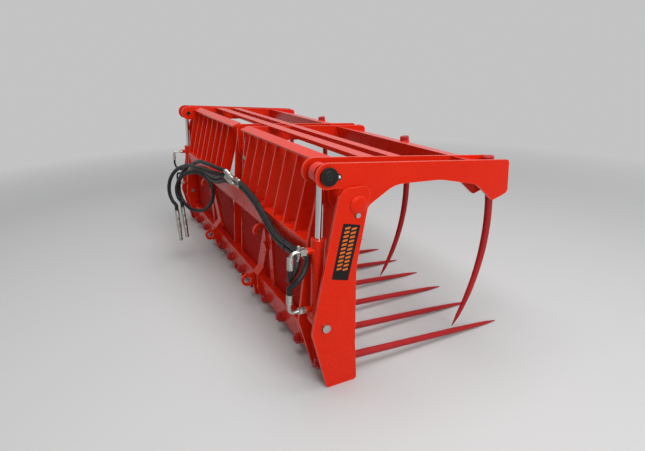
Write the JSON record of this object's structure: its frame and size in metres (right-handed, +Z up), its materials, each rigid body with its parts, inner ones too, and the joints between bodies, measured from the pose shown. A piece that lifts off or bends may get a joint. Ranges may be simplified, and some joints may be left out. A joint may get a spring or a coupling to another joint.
{
  "type": "silage grab",
  "caption": "Hydraulic silage grab: slatted back frame with straight bottom tines and a hinged jaw of curved tines, closed by a cylinder at each end, on quick-hitch brackets.",
  "frame": {"origin": "on the floor below the jaw's pivot axis, at mid-width", "axes": "+Z up, +Y the way the bottom tines point, X along the pivot axis across the width"},
  "size_m": [2.216, 1.0848, 0.8007],
  "materials": {
    "red_paint": "gloss powder coat",
    "crimson_paint": "satin paint on forged steel",
    "chrome_rod": "polished hard chrome",
    "zinc": "zinc plated",
    "black_steel": "black satin",
    "rubber_hose": "satin rubber hose cover"
  },
  "bodies": {
    "frame": {"outer_side_plate_right": "red_paint", "inner_side_plate_right": "red_paint", "middle_plate_right": "red_paint", "top_bar_right": "red_paint", "slats_right": "red_paint", "back_sheet_right": "red_paint", "hitch_bracket_right": "red_paint", "pivot_pin_right": "red_paint", "outer_side_plate_left": "red_paint", "inner_side_plate_left": "red_paint", "middle_plate_left": "red_paint", "top_bar_left": "red_paint", "slats_left": "red_paint", "back_sheet_left": "red_paint", "hitch_bracket_left": "red_paint", "pivot_pin_left": "red_paint", "bottom_beam": "red_paint", "end_beams": "red_paint", "middle_rail": "red_paint", "pivot_pin_middle": "red_paint", "lower_pins": "zinc", "bottom_tines": "crimson_paint", "bottom_tine_nuts": "crimson_paint", "line_hoses": "rubber_hose", "line_tees": "zinc", "long_coil_hose": "rubber_hose", "short_coil_hose": "rubber_hose", "couplers": "zinc"},
    "jaw": {"outer_arm_right": "red_paint", "inner_arm_right": "red_paint", "middle_arm_right": "red_paint", "upper_pin_right": "black_steel", "outer_arm_left": "red_paint", "inner_arm_left": "red_paint", "middle_arm_left": "red_paint", "upper_pin_left": "black_steel", "pivot_bushes": "red_paint", "rear_cross_bar": "red_paint", "middle_cross_bar": "red_paint", "front_beam": "red_paint", "tine_blocks": "red_paint", "upper_tine_nuts": "crimson_paint", "upper_tine_1": "crimson_paint", "upper_tine_2": "crimson_paint", "upper_tine_3": "crimson_paint", "upper_tine_4": "crimson_paint", "upper_tine_5": "crimson_paint"},
    "barrel_right": {"barrel_right": "red_paint", "gland_right": "red_paint", "fittings_right": "zinc", "cylinder_hoses_right": "rubber_hose"},
    "rod_right": {"rod_right": "chrome_rod", "piston_right": "zinc"},
    "barrel_left": {"barrel_left": "red_paint", "gland_left": "red_paint", "fittings_left": "zinc", "cylinder_hoses_left": "rubber_hose"},
    "rod_left": {"rod_left": "chrome_rod", "piston_left": "zinc"}
  },
  "joints": [
    {"name": "jaw", "type": "hinge", "parent": "frame", "child": "jaw", "pos_m": [0, 0, 0.656], "axis": [1, 0, 0], "range_deg": [0, 58]},
    {"name": "barrel_swing_right", "type": "hinge", "parent": "frame", "child": "barrel_right", "pos_m": [1.026, -0.129, 0.242], "axis": [1, 0, 0], "range_deg": [0, 5.8]},
    {"name": "rod_slide_right", "type": "slide", "parent": "barrel_right", "child": "rod_right", "axis": [0, 0.0618, 0.9981], "range_m": [-0.12755, 0]},
    {"name": "barrel_swing_left", "type": "hinge", "parent": "frame", "child": "barrel_left", "pos_m": [-1.026, -0.129, 0.242], "axis": [1, 0, 0], "range_deg": [0, 5.8]},
    {"name": "rod_slide_left", "type": "slide", "parent": "barrel_left", "child": "rod_left", "axis": [0, 0.0618, 0.9981], "range_m": [-0.12755, 0]}
  ],
  "couplings": [
    {"joint": "barrel_swing_right", "follows": "jaw", "ratio": 0.1},
    {"joint": "rod_slide_right", "follows": "jaw", "m_per_rad": -0.126},
    {"joint": "barrel_swing_left", "follows": "jaw", "ratio": 0.1},
    {"joint": "rod_slide_left", "follows": "jaw", "m_per_rad": -0.126}
  ]
}
